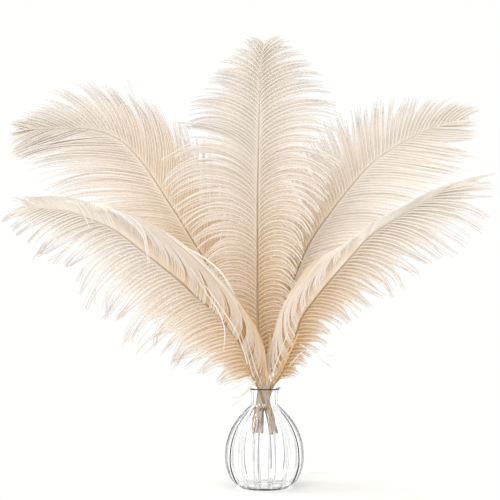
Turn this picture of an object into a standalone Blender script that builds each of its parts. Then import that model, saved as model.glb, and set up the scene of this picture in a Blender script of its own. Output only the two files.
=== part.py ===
"""Five ostrich plumes in a small ribbed bud vase of clear glass.

Metres, +Z up. The origin is the centre of the vase's foot, on the surface that it stands on,
and the plumes face -Y. Each plume is one solid: a quill, and a thin vane that grows from it
and ends in locks. The quills cross in the vase's neck, which holds them, and end in its bulb.
"""

import math
from typing import NamedTuple

import bmesh
import bpy
from mathutils import Vector

MM = 0.001

# The vase, in millimetres: the bulb's outside is a smooth curve through these (radius, height) points.
BULB_OUTLINE = [
    (24.0, 0.0), (32.0, 8.0), (37.4, 21.0), (38.5, 33.0),
    (36.4, 48.0), (29.8, 63.5), (19.5, 77.0), (13.4, 83.5),
]
NECK_RADIUS = 13.0
NECK_TOP = 96.5
LIP_RADIUS = 16.2
LIP_EDGE = 1.1
VASE_HEIGHT = 101.0
WALL = 2.0
FLOOR_THICKNESS = 6.0
BULB_STEPS = 8
RIBS = 14
RIB_HEIGHT = 0.9
RIB_HALF_ANGLE = math.radians(2.4)
RIB_ENDS = (3.0, 81.0)

# The plumes.
QUILL_RADIUS = 1.6
SHAFT_TIP_RADIUS = 0.8
VANE_THICKNESS = 1.0
LOCKS = 20  # on each side of a plume
VANE_COLUMNS = 2  # from the shaft out to where the locks part
LOCK_ROOT = 0.68  # share of the barbs' length at which the locks part
LOCK_SHOULDER = 0.88
LOCK_SHOULDER_WIDTH = 0.72
BARB_STEPS = 12
SHAFT_SAMPLES = 80
SMOOTH_STEPS = 16
COMBED_OVER = 5  # samples each way over which neighbouring barbs take the shaft's direction
FOLD_FROM = 0.3  # share of the vane at which its fold is full
STATIONS = (0.0, 0.15, 0.35, 0.55, 0.75, 0.9, 1.0)  # shares of a vane's length


class Vane(NamedTuple):
    """One side of a plume. The first three give a value for each of STATIONS, and angles are in degrees."""

    reach: tuple  # length of its barbs, in millimetres
    lean: tuple  # between the shaft and a barb where it leaves the shaft
    curl: tuple  # how far a barb turns back by its end
    fold: float = 0.0  # how far its barbs leave the shaft towards the plume's face
    droop: float = 0.0  # how far they turn away from the face by their ends


class Plume(NamedTuple):
    """A plume's shaft goes through shaft, in millimetres, from the cut end of the quill to its tip."""

    name: str
    shaft: list
    vane_from: float  # height at which its barbs start, in millimetres
    left: Vane
    right: Vane
    face: tuple = (0.0, -1.0, 0.0)


PLUMES = [
    Plume(
        "center_feather",
        [(-2.5, 0, 54), (-2, 0, 88), (-2.6, 1, 105), (-4, 3, 128), (-6, 4, 153), (-7, 7, 183),
         (-7, 10, 238), (-7, 13, 292), (-6, 14, 349), (-5, 11, 393), (-4, 6, 418), (-1, -2, 440)],
        vane_from=109,
        left=Vane(reach=(42, 84, 106, 110, 86, 48, 13), lean=(62, 50, 46, 45, 46, 46, 25),
                  curl=(50, 70, 72, 66, 45, 38, 20), fold=24, droop=8),
        right=Vane(reach=(40, 76, 98, 104, 93, 62, 18), lean=(62, 50, 46, 45, 44, 40, 20),
                   curl=(50, 70, 75, 72, 62, 50, 50), fold=24, droop=8),
    ),
    Plume(
        "back_left_feather",
        [(12.5, 2, 54), (3, 3.9, 86), (-1, 5.0, 101), (-7, 9, 117), (-25, 18, 162), (-43, 29, 198),
         (-59, 38, 224), (-86, 53, 267), (-102, 61, 291), (-118, 71, 315), (-129, 75, 329),
         (-143, 79, 344), (-156, 82, 352), (-169, 84, 357), (-185, 85, 360), (-205, 84, 360),
         (-226, 81, 360), (-243, 77, 359)],
        vane_from=109,
        left=Vane(reach=(35, 80, 108, 122, 124, 62, 12), lean=(55, 50, 46, 41, 30, 12, 6),
                  curl=(40, 38, 30, 26, 16, 10, 5), fold=18, droop=0),
        right=Vane(reach=(30, 75, 94, 92, 76, 42, 14), lean=(50, 50, 50, 50, 46, 30, 12),
                   curl=(20, 10, -20, -50, -50, -25, 0), fold=18, droop=0),
    ),
    Plume(
        "back_right_feather",
        [(-7, 2.5, 54), (-2.5, 7.7, 88), (-0.7, 9.2, 101), (2, 19, 127), (10, 33, 161), (21, 44, 186),
         (32, 54, 210), (41, 62, 231), (52, 69, 251), (69, 77, 274), (87, 84, 297), (111, 93, 323),
         (130, 98, 337), (152, 101, 350), (166, 101, 357), (185, 98, 363), (200, 93, 367)],
        vane_from=110,
        left=Vane(reach=(25, 55, 70, 70, 52, 27, 10), lean=(50, 52, 53, 54, 58, 45, 10),
                  curl=(30, 25, 24, 20, -5, -20, -5), fold=8, droop=0),
        right=Vane(reach=(25, 62, 86, 96, 92, 56, 12), lean=(50, 44, 38, 36, 46, 24, 6),
                   curl=(50, 50, 50, 46, 8, 0, 0), fold=18, droop=0),
    ),
    Plume(
        "front_left_feather",
        [(8, -5, 54), (0, -7.8, 84), (-5, -7.8, 101), (-13, -16, 116), (-24, -33, 147), (-46, -50, 178),
         (-68, -62, 198), (-83, -70, 213), (-117, -87, 242), (-144, -100, 264), (-167, -110, 275),
         (-184, -117, 282), (-209, -124, 286), (-225, -126, 287)],
        vane_from=110,
        left=Vane(reach=(30, 66, 84, 68, 66, 42, 15), lean=(68, 52, 48, 45, 32, 18, 8),
                  curl=(60, 50, 52, 56, 42, 30, 15), fold=22, droop=12),
        right=Vane(reach=(14, 24, 33, 30, 19, 14, 8), lean=(45, 45, 45, 45, 42, 30, 10),
                   curl=(90, 90, 90, 90, 80, 50, 20), fold=35, droop=0),
    ),
    Plume(
        "front_right_feather",
        [(-11, -3, 54), (-1, -3.8, 81), (5.8, -5, 101), (12, -8, 111), (19, -13, 128), (29, -20, 150),
         (37, -28, 174), (47, -34, 189), (61, -43, 208), (80, -55, 231), (102, -68, 257),
         (120, -78, 270), (141, -88, 284), (158, -95, 295), (175, -101, 304)],
        vane_from=109,
        left=Vane(reach=(14, 24, 28, 15, 8, 8, 10), lean=(45, 45, 45, 45, 40, 25, 10),
                  curl=(90, 90, 90, 80, 30, 10, 5), fold=35, droop=0),
        right=Vane(reach=(18, 34, 50, 58, 64, 66, 40), lean=(45, 45, 43, 40, 35, 26, 8),
                   curl=(45, 52, 52, 50, 50, 25, 6), fold=22, droop=12),
    ),
]

GLASS = ((0.93, 0.96, 0.96), 0.02)
BARB = ((0.90, 0.80, 0.68), 0.75)


def clear_scene():
    for obj in list(bpy.data.objects):
        bpy.data.objects.remove(obj)


def new_collection(name, hidden=False):
    collection = bpy.data.collections.new(name)
    bpy.context.scene.collection.children.link(collection)
    collection.hide_render = hidden
    return collection


def material(name, colour_and_roughness, transmission=0.0):
    colour, roughness = colour_and_roughness
    made = bpy.data.materials.new(name)
    made.use_nodes = True
    shader = made.node_tree.nodes["Principled BSDF"]
    shader.inputs["Base Color"].default_value = (*colour, 1.0)
    shader.inputs["Roughness"].default_value = roughness
    shader.inputs["Transmission Weight"].default_value = transmission
    return made


def object_from(bm, name, collection, finish=None):
    mesh = bpy.data.meshes.new(name)
    bm.to_mesh(mesh)
    bm.free()
    if finish:
        mesh.materials.append(finish)
    obj = bpy.data.objects.new(name, mesh)
    collection.objects.link(obj)
    return obj


def smooth_line(points, steps=SMOOTH_STEPS):
    """A Catmull-Rom curve through points, with steps points on each stretch."""
    knots = [Vector(p) for p in (points[0], *points, points[-1])]
    line = []
    for a, b, c, d in zip(knots, knots[1:], knots[2:], knots[3:]):
        for k in range(steps):
            t = k / steps
            bend, twist = 2 * a - 5 * b + 4 * c - d, 3 * b - a - 3 * c + d
            line.append(0.5 * (2 * b + (c - a) * t + bend * t**2 + twist * t**3))
    return line + [knots[-1]]


def spaced(line, count):
    """count points evenly spaced along line."""
    lengths = [0.0]
    for a, b in zip(line, line[1:]):
        lengths.append(lengths[-1] + (b - a).length)
    found, k = [], 0
    for i in range(count):
        wanted = lengths[-1] * i / (count - 1)
        while k < len(line) - 2 and lengths[k + 1] < wanted:
            k += 1
        share = (wanted - lengths[k]) / (lengths[k + 1] - lengths[k])
        found.append(line[k].lerp(line[k + 1], min(share, 1.0)))
    return found


def between(values, share):
    """The value at that share of a vane's length, in proportion between those given for STATIONS."""
    i = next((i for i, station in enumerate(STATIONS[1:]) if share <= station), len(STATIONS) - 2)
    start, end = STATIONS[i], STATIONS[i + 1]
    return values[i] + (values[i + 1] - values[i]) * (share - start) / (end - start)


# ---------------------------------------------------------------- the vase


def vase_outline():
    """(radius, height) down the outside from the lip, and up the inside from the middle of the floor."""
    bulb = [tuple(p) for p in spaced(smooth_line([(r, z, 0.0) for r, z in BULB_OUTLINE]), BULB_STEPS)]
    bulb = [(r, z) for r, z, _ in bulb]
    lip = [
        (LIP_RADIUS - LIP_EDGE, VASE_HEIGHT),
        (LIP_RADIUS, VASE_HEIGHT - LIP_EDGE),
        (LIP_RADIUS - LIP_EDGE, VASE_HEIGHT - 2 * LIP_EDGE),
    ]
    outside = [*lip, (NECK_RADIUS, NECK_TOP), *reversed(bulb)]
    inner_bulb = [(r - WALL, z) for r, z in bulb if z > FLOOR_THICKNESS + WALL]
    floor_corner = (inner_bulb[0][0] - 2 * WALL, FLOOR_THICKNESS)
    inside = [floor_corner, *inner_bulb, (NECK_RADIUS - WALL, NECK_TOP)]
    mouth = (NECK_RADIUS - WALL + LIP_EDGE, VASE_HEIGHT)
    return outside, [(0.0, FLOOR_THICKNESS), *inside, mouth]


def raise_ribs(bm, outside):
    """Gives a plain turned body, with four columns to a rib, a narrow ridge at each rib's middle."""
    pitch = 2 * math.pi / RIBS
    low, high = RIB_ENDS
    for vert in bm.verts:
        radius = math.hypot(vert.co.x, vert.co.y)
        if radius < WALL / 2 * MM:
            continue
        column = round(math.atan2(vert.co.y, vert.co.x) / (pitch / 4))
        rib, place = divmod(column, 4)
        angle = rib * pitch + (0.0, RIB_HALF_ANGLE, pitch / 2, pitch - RIB_HALF_ANGLE)[place]
        if place == 0 and vert[outside] and low * MM < vert.co.z < high * MM:
            radius += RIB_HEIGHT * MM
        vert.co.x, vert.co.y = radius * math.cos(angle), radius * math.sin(angle)


def make_vase(collection, finish):
    outside, inside = vase_outline()
    bm = bmesh.new()
    on_outside = bm.verts.layers.int.new("outside")
    outer = [bm.verts.new((r * MM, 0.0, z * MM)) for r, z in (*outside, (0.0, 0.0))]
    inner = [bm.verts.new((r * MM, 0.0, z * MM)) for r, z in inside]
    for vert in outer:
        vert[on_outside] = 1
    chain = [*reversed(outer), *reversed(inner)]
    edges = [bm.edges.new(pair) for pair in zip(chain, chain[1:])]
    bmesh.ops.spin(
        bm, geom=[*chain, *edges], cent=(0, 0, 0), axis=(0, 0, 1), angle=2 * math.pi, steps=4 * RIBS,
        use_merge=True,
    )
    bmesh.ops.remove_doubles(bm, verts=bm.verts, dist=0.01 * MM)
    raise_ribs(bm, on_outside)
    bmesh.ops.recalc_face_normals(bm, faces=bm.faces)
    vase = object_from(bm, "vase", collection, finish)
    vase.data.shade_smooth()
    return vase


# ---------------------------------------------------------------- the plumes


class Growth:
    """Where a plume's barbs grow from, and how each one runs. Millimetres."""

    def __init__(self, plume):
        self.plume = plume
        self.shaft = spaced(smooth_line(plume.shaft), SHAFT_SAMPLES)
        first = next(i for i, p in enumerate(self.shaft) if p.z > plume.vane_from)
        self.start = first / (SHAFT_SAMPLES - 1)

    def at(self, share):
        """The point at that share of the shaft's length, and the direction towards the tip."""
        place = share * (SHAFT_SAMPLES - 1)
        i = min(int(place), SHAFT_SAMPLES - 2)
        low, high = max(i - COMBED_OVER, 0), min(i + 1 + COMBED_OVER, SHAFT_SAMPLES - 1)
        along = (self.shaft[high] - self.shaft[low]).normalized()
        return self.shaft[i].lerp(self.shaft[i + 1], place - i), along

    def barb(self, along_vane, side):
        """The barb's points, from its root at that share of the vane. side is -1 for left, 1 for right."""
        vane = self.plume.right if side > 0 else self.plume.left
        point, along = self.at(self.start + (1 - self.start) * along_vane)
        across = side * along.cross(Vector(self.plume.face)).normalized()
        facing = side * across.cross(along)
        lean, curl = between(vane.lean, along_vane), between(vane.curl, along_vane)
        step = between(vane.reach, along_vane) / BARB_STEPS
        folded = min(1.0, along_vane / FOLD_FROM)
        points = [point.copy()]
        for k in range(BARB_STEPS):
            t = (k + 0.5) / BARB_STEPS
            turn, rise = math.radians(lean + curl * t), math.radians(vane.fold - vane.droop * t) * folded
            out = across * math.cos(rise) + facing * math.sin(rise)
            point = point + (along * math.cos(turn) + out * math.sin(turn)) * step
            points.append(point)
        return points


def along_barb(points, share):
    place = share * BARB_STEPS
    i = min(int(place), BARB_STEPS - 1)
    return points[i].lerp(points[i + 1], place - i)


def vane_sheet(growth):
    """The open sheet of both vanes: a grid bent onto the barbs, each edge drawn out to a lock's tip."""
    bm = bmesh.new()
    bmesh.ops.create_grid(bm, x_segments=2 * VANE_COLUMNS, y_segments=LOCKS, size=1.0)
    bm.verts.ensure_lookup_table()
    outer_edges = [e for e in bm.edges if all(abs(abs(v.co.x) - 1) < 0.01 for v in e.verts)]
    rows = {e: sum((v.co.y + 1) / 2 for v in e.verts) / 2 for e in outer_edges}
    sides = {e: (1 if e.verts[0].co.x > 0 else -1) for e in outer_edges}
    for v in bm.verts:
        across, along_vane = v.co.x, (v.co.y + 1) / 2
        barb = growth.barb(along_vane, 1 if across >= 0 else -1)
        v.co = along_barb(barb, abs(across) * LOCK_ROOT) * MM
    for edge in outer_edges:
        draw_out_lock(bm, edge, growth.barb(rows[edge], sides[edge]))
    bmesh.ops.recalc_face_normals(bm, faces=bm.faces)
    return bm


def draw_out_lock(bm, edge, barb):
    """Draws one edge of the sheet out along barb, narrowing to a point."""
    root = along_barb(barb, LOCK_ROOT) * MM
    shoulder = along_barb(barb, LOCK_SHOULDER) * MM
    tip = barb[-1] * MM
    made = bmesh.ops.extrude_edge_only(bm, edges=[edge])["geom"]
    ends = [v for v in made if isinstance(v, bmesh.types.BMVert)]
    outer = [e for e in made if isinstance(e, bmesh.types.BMEdge)]
    for v in ends:
        v.co = shoulder + (v.co - root) * LOCK_SHOULDER_WIDTH
    made = bmesh.ops.extrude_edge_only(bm, edges=[e for e in outer if set(e.verts) == set(ends)])["geom"]
    bmesh.ops.pointmerge(bm, verts=[v for v in made if isinstance(v, bmesh.types.BMVert)], merge_co=tip)


def make_quill(growth, helpers):
    """The shaft as a tapered tube, made a mesh so that the vane can be joined to it."""
    curve = bpy.data.curves.new(growth.plume.name + "_quill", "CURVE")
    curve.dimensions = "3D"
    curve.bevel_depth = QUILL_RADIUS * MM
    curve.bevel_resolution = 1
    curve.use_fill_caps = True
    bare = 5
    shares = [growth.start * k / bare for k in range(bare)]
    shares += [growth.start + (0.995 - growth.start) * k / LOCKS for k in range(LOCKS + 1)]
    spline = curve.splines.new("POLY")
    spline.points.add(len(shares) - 1)
    for point, share in zip(spline.points, shares):
        late = max(0.0, (share - growth.start) / (1 - growth.start))
        point.co = (*growth.at(share)[0] * MM, 1.0)
        point.radius = 1 - (1 - SHAFT_TIP_RADIUS / QUILL_RADIUS) * late
    source = bpy.data.objects.new(curve.name + "_line", curve)
    helpers.objects.link(source)
    graph = bpy.context.evaluated_depsgraph_get()
    mesh = bpy.data.meshes.new_from_object(source.evaluated_get(graph))
    bpy.data.objects.remove(source)
    bm = bmesh.new()
    bm.from_mesh(mesh)
    bmesh.ops.remove_doubles(bm, verts=bm.verts, dist=0.01 * MM)
    bmesh.ops.recalc_face_normals(bm, faces=bm.faces)
    quill = object_from(bm, curve.name, helpers)
    quill.display_type = "WIRE"
    quill.hide_render = True
    return quill


def make_plume(plume, collection, helpers, finish):
    growth = Growth(plume)
    feather = object_from(vane_sheet(growth), plume.name, collection, finish)
    wall = feather.modifiers.new("thickness", "SOLIDIFY")
    wall.thickness = VANE_THICKNESS * MM
    wall.offset = 0.0
    join = feather.modifiers.new("quill", "BOOLEAN")
    join.operation = "UNION"
    join.object = make_quill(growth, helpers)
    return feather


def main():
    clear_scene()
    parts = new_collection("ostrich_feathers_in_vase")
    helpers = new_collection("helpers", hidden=True)
    make_vase(parts, material("clear_glass", GLASS, transmission=1.0))
    barb_finish = material("feather_barbs", BARB)
    for plume in PLUMES:
        make_plume(plume, parts, helpers, barb_finish)


main()
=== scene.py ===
"""How the five ostrich plumes and their glass bud vase look.

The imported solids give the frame. Each plume's solid is replaced by its barbs, grown from the same
named values as the solid's vane, and the vase by a smoother turned one with the same outline.
Lengths in the tables are millimetres and angles are degrees, as in the part's source.
"""

import math
from typing import NamedTuple

import bmesh
import bpy
import numpy as np
from mathutils import Matrix, Vector


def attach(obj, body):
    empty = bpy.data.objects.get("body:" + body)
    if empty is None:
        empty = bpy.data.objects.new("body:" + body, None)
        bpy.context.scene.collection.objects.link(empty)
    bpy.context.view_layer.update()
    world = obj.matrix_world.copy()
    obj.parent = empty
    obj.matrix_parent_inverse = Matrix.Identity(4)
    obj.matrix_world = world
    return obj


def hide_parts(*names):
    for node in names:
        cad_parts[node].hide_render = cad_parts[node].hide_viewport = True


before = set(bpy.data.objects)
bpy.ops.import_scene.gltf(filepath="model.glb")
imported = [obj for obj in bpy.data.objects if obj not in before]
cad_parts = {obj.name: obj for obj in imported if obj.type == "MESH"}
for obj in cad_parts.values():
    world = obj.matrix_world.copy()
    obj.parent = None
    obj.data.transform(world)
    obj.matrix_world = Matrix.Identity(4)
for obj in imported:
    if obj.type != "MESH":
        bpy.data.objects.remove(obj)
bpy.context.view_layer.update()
MM = 0.001

# ---------------------------------------------------------------- what the plumes grow from

SHAFT_SAMPLES = 80
SMOOTH_STEPS = 16
COMBED_OVER = 5  # samples to each side that the shaft's direction is taken over
FOLD_FROM = 0.3  # the share of the vane over which its fold sets in
STATIONS = (0.0, 0.15, 0.35, 0.55, 0.75, 0.9, 1.0)  # shares of the vane's length
GREY_STATIONS = (0.45, 0.7, 0.85, 1.0)


class Vane(NamedTuple):
    """One side of a plume. The first three give a value for each of STATIONS. A rolled vane follows ROLL
    and BRUSH in place of a lean, a curl and a fold."""

    reach: tuple  # how long its barbs are, or how high over the shaft a rolled one stands
    lean: tuple = ()  # from the shaft's direction
    curl: tuple = ()  # how much further round they end
    fold: float = 0.0  # towards the front
    droop: float = 0.0  # how much of the fold they lose by their tips
    rolled: bool = False  # its barbs roll over the shaft and lie back along it
    arch: float = 0.0  # how much more than in the solid its barbs rise and then bend over
    wild: float = 0.5  # how unevenly its barbs end
    tone: float = 1.0  # how light it is, painted lighter where the vane lies in shade and darker where the lamps fall strongly on it
    edge: float = 1.0  # how dark the painted shade under its barbs is
    pale: float = 0.0  # how much nearer to the tip's its colours are, so how much less of the painted golden shade it has
    bare: float = 0.62  # the share of its barbs' length where the barbules start to thin out
    opens: float = 0.55  # where along the plume a rolled vane starts to open
    grouped: float = 0.35  # how far its barbs' ends draw together in strands
    greys: tuple = (0.1, 0.9, 0.6, 0.2)  # how grey its barbs' tips get, at GREY_STATIONS: painted shade on the hair-thin tips


class Plume(NamedTuple):
    name: str
    shaft: list
    vane_from: float
    left: Vane
    right: Vane
    seed: int


PLUMES = [
    Plume(
        "center_feather",
        [(-2.5, 0, 54), (-2, 0, 88), (-2.6, 1, 105), (-4, 3, 128), (-6, 4, 153), (-7, 7, 183),
         (-7, 10, 238), (-7, 13, 292), (-6, 14, 349), (-5, 11, 393), (-4, 6, 418), (-1, -2, 440)],
        vane_from=109,
        left=Vane(reach=(36, 46, 64, 112, 80, 46, 20), lean=(62, 50, 46, 45, 46, 44, 25),
                  curl=(50, 72, 78, 68, 50, 38, 20), fold=24, droop=8, arch=28, tone=1.05, pale=0.08,
                  bare=0.57, greys=(0.1, 0.7, 0.9, 0.6)),
        right=Vane(reach=(34, 40, 50, 87, 94, 62, 22), lean=(62, 50, 46, 45, 44, 38, 18),
                   curl=(50, 78, 96, 88, 62, 50, 50), fold=24, droop=8, arch=28, bare=0.57,
                   greys=(0.1, 0.9, 0.9, 0.6)),
        seed=11,
    ),
    Plume(
        "back_left_feather",
        [(12.5, 2, 54), (3, 3.9, 86), (-1, 5.0, 101), (-7, 9, 117), (-25, 18, 162), (-43, 29, 198),
         (-59, 38, 224), (-86, 53, 267), (-102, 61, 291), (-118, 71, 315), (-129, 75, 329),
         (-143, 79, 344), (-156, 82, 352), (-169, 84, 357), (-185, 85, 360), (-205, 84, 360),
         (-226, 81, 360), (-243, 77, 359)],
        vane_from=109,
        left=Vane(reach=(35, 80, 110, 130, 112, 60, 20), lean=(55, 50, 46, 41, 32, 18, 8),
                  curl=(40, 46, 52, 48, 22, 8, 5), fold=18, greys=(0.1, 0.6, 0.4, 0.15)),
        right=Vane(reach=(30, 80, 110, 102, 76, 46, 22), lean=(50, 50, 50, 50, 46, 34, 16),
                   curl=(20, 10, -20, -50, -50, -25, 0), fold=18, pale=-0.1, greys=(0.7, 0.9, 0.5, 0.2)),
        seed=23,
    ),
    Plume(
        "back_right_feather",
        [(-7, 2.5, 54), (-2.5, 7.7, 88), (-0.7, 9.2, 101), (2, 19, 127), (10, 33, 161), (21, 44, 186),
         (32, 54, 210), (41, 62, 231), (52, 69, 251), (69, 77, 274), (87, 84, 297), (111, 93, 323),
         (130, 98, 337), (152, 101, 350), (166, 101, 357), (185, 98, 363), (200, 93, 367)],
        vane_from=110,
        left=Vane(reach=(25, 55, 76, 78, 58, 44, 30), lean=(50, 52, 53, 54, 56, 50, 30),
                  curl=(30, 25, 24, 20, -5, -38, -30), fold=8, wild=0.25, edge=0.8, pale=-0.05),
        right=Vane(reach=(25, 62, 86, 100, 100, 64, 14), lean=(50, 44, 38, 36, 46, 26, 6),
                   curl=(50, 50, 50, 46, 8, 0, 0), fold=18, tone=1.28, edge=0.6, pale=0.17,
                   greys=(0.0, 0.3, 0.4, 0.2)),
        seed=37,
    ),
    Plume(
        "front_left_feather",
        [(8, -5, 54), (0, -7.8, 84), (-5, -7.8, 101), (-13, -16, 116), (-24, -33, 147), (-46, -50, 178),
         (-68, -62, 198), (-83, -70, 213), (-117, -87, 242), (-144, -100, 264), (-167, -110, 275),
         (-184, -117, 282), (-209, -124, 286), (-225, -126, 287)],
        vane_from=110,
        left=Vane(reach=(34, 76, 96, 91, 84, 56, 32), lean=(68, 52, 48, 45, 34, 24, 16),
                  curl=(60, 50, 52, 56, 42, 30, 15), fold=22, droop=12, wild=1.6, tone=0.84, edge=0.42,
                  pale=0.12, bare=0.4, grouped=0.6, greys=(0.8, 1.0, 1.0, 0.8)),
        right=Vane(reach=(14, 24, 33, 30, 19, 14, 8), rolled=True, tone=0.64, edge=0.7, pale=-0.35,
                   grouped=0.22),
        seed=41,
    ),
    Plume(
        "front_right_feather",
        [(-11, -3, 54), (-1, -3.8, 81), (5.8, -5, 101), (12, -8, 111), (19, -13, 128), (29, -20, 150),
         (37, -28, 174), (47, -34, 189), (61, -43, 208), (80, -55, 231), (102, -68, 257),
         (120, -78, 270), (141, -88, 284), (158, -95, 295), (175, -101, 304)],
        vane_from=109,
        left=Vane(reach=(14, 24, 28, 15, 8, 6, 5), rolled=True, tone=0.92, edge=0.55, pale=-0.02,
                  opens=0.38, grouped=0.4),
        right=Vane(reach=(18, 36, 54, 77, 94, 82, 51), lean=(45, 45, 43, 38, 29, 20, 6),
                   curl=(45, 52, 54, 56, 48, 21, 4), fold=22, droop=12, wild=1.4, tone=0.73, edge=0.6,
                   pale=-0.02, bare=0.5, grouped=0.55, greys=(0.8, 1.0, 0.9, 0.5)),
        seed=59,
    ),
]


class Lock(NamedTuple):
    """A few barbs that leave the vane's sweep together."""

    plume: str
    points: list
    barbs: int = 2
    spread: float = 1.5
    fluff: float = 0.25  # how long its barbules are beside the vane's
    place: float = 0.8  # the share of a vane's length whose colour it has, and so its painted golden shade
    grey: float = 0.15  # how grey its tips get, a painted shade
    tone: float = 0.9


LEFT, RIGHT = "front_left_feather", "front_right_feather"  # the plumes that most of them belong to
HAIR = {"spread": 3.0, "fluff": 0.15, "grey": 1.0, "tone": 0.78}
WISP = {"grey": 0.7, "place": 1.0, "tone": 0.78}
SHADED_STRAND = {"barbs": 3, "spread": 0.9, "fluff": 0.7, "place": 0.0, "grey": 0.0}
LIGHT_STRAND = {"barbs": 2, "spread": 0.8, "fluff": 0.5, "place": 0.4, "grey": 0.0, "tone": 0.95}
LOCKS = [
    # Over the front left plume's rolled edge, and hooked across its shaft.
    Lock(LEFT, [(-139, -104, 280), (-110, -96, 268), (-79, -84, 248), (-60, -76, 237), (-43, -66, 222),
                (-33, -58, 205), (-28, -52, 193)], barbs=4, spread=1.2, fluff=0.35, tone=0.98),
    Lock(LEFT, [(-131, -100, 278), (-96, -92, 261), (-63, -80, 234), (-34, -62, 201), (-22, -52, 181),
                (-12, -40, 157)], barbs=4, spread=1.6, fluff=0.35, tone=0.92),
    Lock(LEFT, [(-164, -122, 290), (-149, -122, 287), (-134, -119, 278), (-122, -114, 267),
                (-116, -112, 257), (-114, -110, 243)]),
    Lock(LEFT, [(-188, -130, 292), (-177, -130, 290), (-169, -129, 281), (-163, -127, 268)]),
    Lock(LEFT, [(-166, -126, 291), (-154, -125, 287), (-148, -123, 278), (-144, -121, 267)]),
    Lock(LEFT, [(-146, -116, 284), (-129, -114, 277), (-118, -111, 265), (-114, -108, 249),
                (-113, -106, 230)]),
    Lock(LEFT, [(-72, -86, 227), (-56, -76, 200), (-45, -70, 183), (-39, -66, 165), (-40, -62, 143)],
         spread=0.8, fluff=0.3, tone=0.92),
    Lock(LEFT, [(-58, -76, 209), (-42, -66, 185), (-29, -58, 164), (-22, -52, 145), (-18, -46, 129)],
         spread=0.8, fluff=0.3, tone=0.92),
    Lock(LEFT, [(-12, -40, 154), (-8, -24, 129), (-3.5, -12, 105), (1.5, -7, 84), (5.5, -5, 64)],
         barbs=4, fluff=0.3, place=0.5, tone=0.78),
    # Stray hairs at the foot of the front right plume.
    Lock(RIGHT, [(25, -22, 125), (31, -26, 132), (36, -28, 137), (44, -30, 141)], **(HAIR | {"spread": 2.5})),
    Lock(RIGHT, [(35, -34, 147), (49, -38, 137), (56, -38, 130), (65, -36, 123)], **HAIR),
    Lock(RIGHT, [(35, -34, 140), (47, -36, 136), (56, -38, 140), (68, -40, 141)], barbs=1, **HAIR),
    # Wisps that hang over the lip on the left, and down in the vase's neck.
    Lock(LEFT, [(-8, -15, 110), (-15.5, -17, 101.5), (-23.5, -19, 93), (-32, -20, 83)],
         barbs=3, spread=1.6, fluff=0.5, **WISP),
    Lock(LEFT, [(-10, -15, 108), (-18, -17, 98), (-24.5, -18, 93), (-32, -20, 93)],
         spread=1.2, fluff=0.4, **WISP),
    Lock(LEFT, [(-8.5, -18, 118), (-15.5, -20, 112), (-21.5, -21, 108), (-33, -22, 102)],
         barbs=3, spread=2.0, fluff=0.4, **WISP),
    # Strands that cross over the mouth, light on top and painted dark as the shade in the gaps.
    Lock(LEFT, [(-28.5, -42, 162.5), (-21.5, -35, 142), (-14.5, -26, 121.5), (-8.5, -10, 101.5),
                (-5.5, -6, 87)], tone=0.2, **SHADED_STRAND),
    Lock(LEFT, [(-18.5, -43, 157.5), (-13.5, -35, 137), (-7.5, -25, 116), (-1.5, -9, 98.5), (2.5, -7, 81)],
         **LIGHT_STRAND),
    Lock(LEFT, [(-7.5, -40, 160.5), (-7.5, -32, 140), (-7.5, -24, 119), (-7.5, -8, 98), (-8.5, -6, 85)],
         tone=0.15, **SHADED_STRAND),
    Lock(LEFT, [(-2.5, -38, 152.5), (-1.5, -30, 133.5), (-1.5, -22, 115), (-2.5, -8, 98), (-2.5, -6, 85)],
         tone=0.2, **SHADED_STRAND),
    Lock(RIGHT, [(23, -40, 160.5), (16, -33, 142), (8.5, -24, 121), (1.5, -8, 100), (-2.5, -6, 86)],
         **LIGHT_STRAND),
    Lock(RIGHT, [(28, -38, 152.5), (20, -31, 135.5), (12.5, -22, 117), (4.5, -8, 100), (-0.5, -6, 85)],
         tone=0.3, **SHADED_STRAND),
    Lock(RIGHT, [(33, -40, 158.5), (25, -33, 140), (16.5, -24, 121), (7.5, -7, 101), (3.5, -5, 87)],
         tone=0.35, **SHADED_STRAND),
    Lock(LEFT, [(-24.5, -44, 162.5), (-18.5, -36, 142), (-12.5, -27, 119.5), (-7.5, -9, 99.5),
                (-4.5, -6, 85)], **LIGHT_STRAND),
    Lock(RIGHT, [(5.5, -34, 157), (3.5, -28, 136.5), (1.5, -20, 115.5), (-0.5, -8, 100), (-0.5, -6, 87)],
         tone=0.2, **SHADED_STRAND),
    Lock("center_feather", [(-5, -6.5, 91), (-7.5, -6, 84), (-10.5, -6, 78), (-12.5, -6, 71)],
         barbs=6, spread=2.0, fluff=0.9, place=1.0, grey=0.5, tone=0.78),
]
FACE = np.array((0.0, -1.0, 0.0))  # the plumes face the front

# In a pair called a change, the first is where it starts and the second over how much it comes about.

# The barbs. One in FRONT_EVERY is a crisp front barb. The rest are shorter, fuller and a little behind it.
BARB_PITCH = 1.5
FRONT_EVERY = 3
BARB_STEPS = 16
VANE_END = 0.998
NEW_STRAND = 0.2  # chance that a barb leaves the strand its neighbour is in
GROUPED_CHANGE = (0.5, 0.45)
BEHIND = 3.2
BEHIND_CHANGE = (0.0, 0.2)
BACK_BARB_LENGTH = 0.93
LONGER = 1.04  # than the solid's vane, for the ends are thin
SWAY = 0.6

# How they run. The arch lifts a barb's root by a share of what it adds to the curl.
ROOT_BEND = 16.0  # how much closer to the shaft's own direction a barb starts
ROOT_PART = 0.15
HOOK_FROM = 0.6
ARCH_CHANGE = (0.45, 0.4)
ARCH_LIFT = 0.4
ARCH_LENGTHENS = 400  # degrees of arch that would double a barb

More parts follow.
